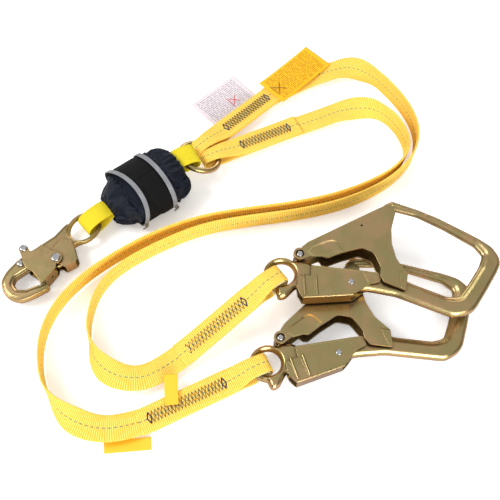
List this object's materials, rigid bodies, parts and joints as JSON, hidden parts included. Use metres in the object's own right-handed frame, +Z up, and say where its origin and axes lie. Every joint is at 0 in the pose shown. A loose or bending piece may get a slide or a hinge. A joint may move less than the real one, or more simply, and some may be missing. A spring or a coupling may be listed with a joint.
{
  "type": "shock absorbing lanyard",
  "caption": "Shock absorbing lanyard: a soft absorber pack with a snap hook, a connector ring and webbing legs that end in large rebar hooks, laid out flat.",
  "frame": {"origin": "on the bench, under the middle of the box round the hooks, ring and absorber", "axes": "+Z up from the bench, +X along the longest side, from the snap hook towards the bows of the rebar hooks"},
  "size_m": [0.5054, 0.4918, 0.0444],
  "materials": {
    "zinc_plated_steel": "yellow zinc plate, satin, slightly iridescent",
    "rivet_steel": "plain plated steel, satin",
    "spring_steel": "drawn spring wire",
    "yellow_webbing": "woven polyester, ribbed",
    "navy_thread": "bonded polyester lock stitch",
    "pale_webbing": "woven wear sleeve",
    "lime_webbing": "woven polyester, finely ribbed",
    "tear_webbing": "folded tear webbing",
    "navy_cloth": "gathered nylon cloth",
    "black_webbing": "hook and loop wrap",
    "grey_binding": "woven binding tape",
    "elastic": "gathered elastic",
    "white_label": "printed vinyl",
    "orange_label": "printed vinyl",
    "orange_tag": "printed vinyl"
  },
  "bodies": {
    "lanyard": {"absorber_cover": "navy_cloth", "absorber_elastics": "elastic", "backup_strap": "tear_webbing", "tear_webbing": "tear_webbing", "wrap_band": "black_webbing", "wrap_bindings": "grey_binding", "harness_loop": "lime_webbing", "ring_loop": "lime_webbing", "leg_a_webbing": "yellow_webbing", "leg_a_ring_eye": "yellow_webbing", "leg_a_hook_eye": "yellow_webbing", "leg_a_stitching": "navy_thread", "leg_a_wear_pad": "pale_webbing", "leg_b_webbing": "yellow_webbing", "leg_b_ring_eye": "yellow_webbing", "leg_b_hook_eye": "yellow_webbing", "leg_b_stitching": "navy_thread", "leg_b_wear_pad": "pale_webbing", "label_white": "white_label", "label_orange": "orange_label", "tag_a": "orange_tag", "tag_b": "orange_tag"},
    "ring": {"connector_ring": "zinc_plated_steel"},
    "snap_hook": {"snap_body": "zinc_plated_steel", "snap_gate_rivet": "rivet_steel", "snap_stop_rivet": "rivet_steel"},
    "snap_hook_gate": {"snap_gate": "zinc_plated_steel", "snap_gate_pin": "rivet_steel", "snap_gate_spring": "spring_steel"},
    "snap_hook_lever": {"snap_lever": "zinc_plated_steel", "snap_lever_spring": "spring_steel"},
    "hook_a": {"hook_a_body": "zinc_plated_steel", "hook_a_gate_rivet": "rivet_steel", "hook_a_lever_rivet": "rivet_steel"},
    "hook_a_gate_body": {"hook_a_gate": "zinc_plated_steel", "hook_a_gate_spring": "spring_steel"},
    "hook_a_lever_body": {"hook_a_lever": "zinc_plated_steel", "hook_a_lever_spring": "spring_steel"},
    "hook_b": {"hook_b_body": "zinc_plated_steel", "hook_b_gate_rivet": "rivet_steel", "hook_b_lever_rivet": "rivet_steel"},
    "hook_b_gate_body": {"hook_b_gate": "zinc_plated_steel", "hook_b_gate_spring": "spring_steel"},
    "hook_b_lever_body": {"hook_b_lever": "zinc_plated_steel", "hook_b_lever_spring": "spring_steel"}
  },
  "joints": [
    {"name": "ring_spin", "type": "hinge", "parent": "lanyard", "child": "ring", "pos_m": [-0.0548, 0.1212, 0.0158], "axis": [0.2996, 0.2249, 0.9272], "continuous": true},
    {"name": "snap_swing", "type": "hinge", "parent": "lanyard", "child": "snap_hook", "pos_m": [-0.1621, 0.04393, 0.0108], "axis": [-0.6626, 0.749, 0], "range_deg": [0, 24]},
    {"name": "snap_gate_open", "type": "hinge", "parent": "snap_hook", "child": "snap_hook_gate", "pos_m": [-0.19855, -0.00762, 0.0108], "axis": [0, 0, -1], "range_deg": [0, 32], "stiffness_Nm_per_rad": 0.05, "springref_deg": -17.19},
    {"name": "snap_lever_press", "type": "hinge", "parent": "snap_hook", "child": "snap_hook_lever", "pos_m": [-0.19855, -0.00762, 0.0108], "axis": [0, 0, -1], "range_deg": [0, 12], "stiffness_Nm_per_rad": 0.02, "springref_deg": -11.46},
    {"name": "hook_a_swing", "type": "hinge", "parent": "lanyard", "child": "hook_a", "pos_m": [0.02079, -0.04359, 0.0332], "axis": [0.5993, -0.8005, 0], "range_deg": [0, 30]},
    {"name": "hook_b_swing", "type": "hinge", "parent": "lanyard", "child": "hook_b", "pos_m": [0.00516, -0.12586, 0.0113], "axis": [0.4231, -0.9061, 0], "range_deg": [-30, 0]},
    {"name": "hook_a_gate_open", "type": "hinge", "parent": "hook_a", "child": "hook_a_gate_body", "pos_m": [0.0516, -0.0153, 0.0332], "axis": [0, 0, -1], "range_deg": [0, 32], "stiffness_Nm_per_rad": 0.08, "springref_deg": -17.19},
    {"name": "hook_a_lever_press", "type": "hinge", "parent": "hook_a", "child": "hook_a_lever_body", "pos_m": [0.1012, -0.0453, 0.0332], "axis": [0, 0, -1], "range_deg": [0, 8], "stiffness_Nm_per_rad": 0.05, "springref_deg": -11.46},
    {"name": "hook_b_gate_open", "type": "hinge", "parent": "hook_b", "child": "hook_b_gate_body", "pos_m": [0.03145, -0.09586, 0.0113], "axis": [0, 0, -1], "range_deg": [0, 32], "stiffness_Nm_per_rad": 0.08, "springref_deg": -17.19},
    {"name": "hook_b_lever_press", "type": "hinge", "parent": "hook_b", "child": "hook_b_lever_body", "pos_m": [0.08753, -0.11054, 0.0113], "axis": [0, 0, -1], "range_deg": [0, 8], "stiffness_Nm_per_rad": 0.05, "springref_deg": -11.46}
  ],
  "couplings": [
    {"joint": "snap_lever_press", "follows": "snap_gate_open", "ratio": 0.36},
    {"joint": "hook_a_lever_press", "follows": "hook_a_gate_open", "ratio": 0.25},
    {"joint": "hook_b_lever_press", "follows": "hook_b_gate_open", "ratio": 0.25}
  ]
}
